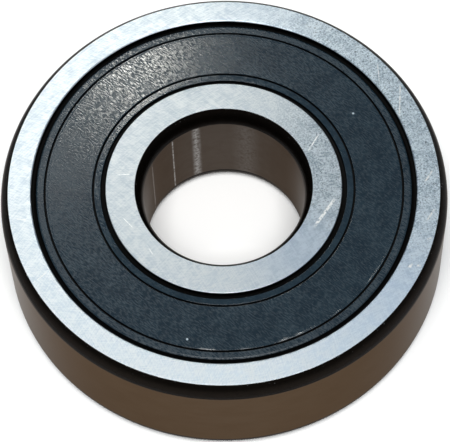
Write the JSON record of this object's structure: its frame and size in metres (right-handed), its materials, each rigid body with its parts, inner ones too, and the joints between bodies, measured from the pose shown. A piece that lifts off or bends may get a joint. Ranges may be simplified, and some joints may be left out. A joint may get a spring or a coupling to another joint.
{
  "type": "ball bearing",
  "caption": "Sealed deep groove ball bearing: steel rings with a row of balls in a riveted ribbon cage, and a dark rubber seal closing each side.",
  "frame": {"origin": "centre of the bore at the lower side face", "axes": "+Z along the bearing's axis, towards the upper side face; +X through the centre of the first ball at rest"},
  "size_m": [0.047, 0.047, 0.014],
  "materials": {
    "ring_steel": "through-hardened bearing steel: ground side faces with fine lapping marks, dark heat-treat skin in the rounded corners, smooth ground bore and outside",
    "ball_steel": "polished bearing steel",
    "cage_steel": "cold-rolled strip, pressed, tumbled and lightly oiled",
    "rivet_steel": "bright steel rivet with formed heads",
    "insert_steel": "matt phosphated sheet",
    "seal_rubber": "dark slate blue-grey moulded nitrile rubber, satin"
  },
  "bodies": {
    "outer": {"outer_ring": "ring_steel", "seal_insert_upper": "insert_steel", "seal_insert_lower": "insert_steel", "seal_rubber_upper": "seal_rubber", "seal_rubber_lower": "seal_rubber"},
    "inner": {"inner_ring": "ring_steel"},
    "cage": {"cage_half_upper": "cage_steel", "cage_half_lower": "cage_steel", "cage_rivet_1": "rivet_steel", "cage_rivet_2": "rivet_steel", "cage_rivet_3": "rivet_steel", "cage_rivet_4": "rivet_steel", "cage_rivet_5": "rivet_steel", "cage_rivet_6": "rivet_steel", "cage_rivet_7": "rivet_steel"},
    "ball_1": {"ball_1": "ball_steel"},
    "ball_2": {"ball_2": "ball_steel"},
    "ball_3": {"ball_3": "ball_steel"},
    "ball_4": {"ball_4": "ball_steel"},
    "ball_5": {"ball_5": "ball_steel"},
    "ball_6": {"ball_6": "ball_steel"},
    "ball_7": {"ball_7": "ball_steel"}
  },
  "joints": [
    {"name": "inner_spin", "type": "hinge", "parent": "outer", "child": "inner", "pos_m": [0, 0, 0.007], "axis": [0, 0, 1], "continuous": true},
    {"name": "cage_orbit", "type": "hinge", "parent": "outer", "child": "cage", "pos_m": [0, 0, 0.007], "axis": [0, 0, 1], "continuous": true},
    {"name": "ball_1_spin", "type": "hinge", "parent": "cage", "child": "ball_1", "pos_m": [0.016, 0, 0.007], "axis": [0, 0, 1], "continuous": true},
    {"name": "ball_2_spin", "type": "hinge", "parent": "cage", "child": "ball_2", "pos_m": [0.00998, 0.01251, 0.007], "axis": [0, 0, 1], "continuous": true},
    {"name": "ball_3_spin", "type": "hinge", "parent": "cage", "child": "ball_3", "pos_m": [-0.00356, 0.0156, 0.007], "axis": [0, 0, 1], "continuous": true},
    {"name": "ball_4_spin", "type": "hinge", "parent": "cage", "child": "ball_4", "pos_m": [-0.01442, 0.00694, 0.007], "axis": [0, 0, 1], "continuous": true},
    {"name": "ball_5_spin", "type": "hinge", "parent": "cage", "child": "ball_5", "pos_m": [-0.01442, -0.00694, 0.007], "axis": [0, 0, 1], "continuous": true},
    {"name": "ball_6_spin", "type": "hinge", "parent": "cage", "child": "ball_6", "pos_m": [-0.00356, -0.0156, 0.007], "axis": [0, 0, 1], "continuous": true},
    {"name": "ball_7_spin", "type": "hinge", "parent": "cage", "child": "ball_7", "pos_m": [0.00998, -0.01251, 0.007], "axis": [0, 0, 1], "continuous": true}
  ],
  "couplings": [
    {"joint": "cage_orbit", "follows": "inner_spin", "ratio": 0.36358},
    {"joint": "ball_1_spin", "follows": "inner_spin", "ratio": -1.6961},
    {"joint": "ball_2_spin", "follows": "inner_spin", "ratio": -1.6961},
    {"joint": "ball_3_spin", "follows": "inner_spin", "ratio": -1.6961},
    {"joint": "ball_4_spin", "follows": "inner_spin", "ratio": -1.6961},
    {"joint": "ball_5_spin", "follows": "inner_spin", "ratio": -1.6961},
    {"joint": "ball_6_spin", "follows": "inner_spin", "ratio": -1.6961},
    {"joint": "ball_7_spin", "follows": "inner_spin", "ratio": -1.6961}
  ]
}
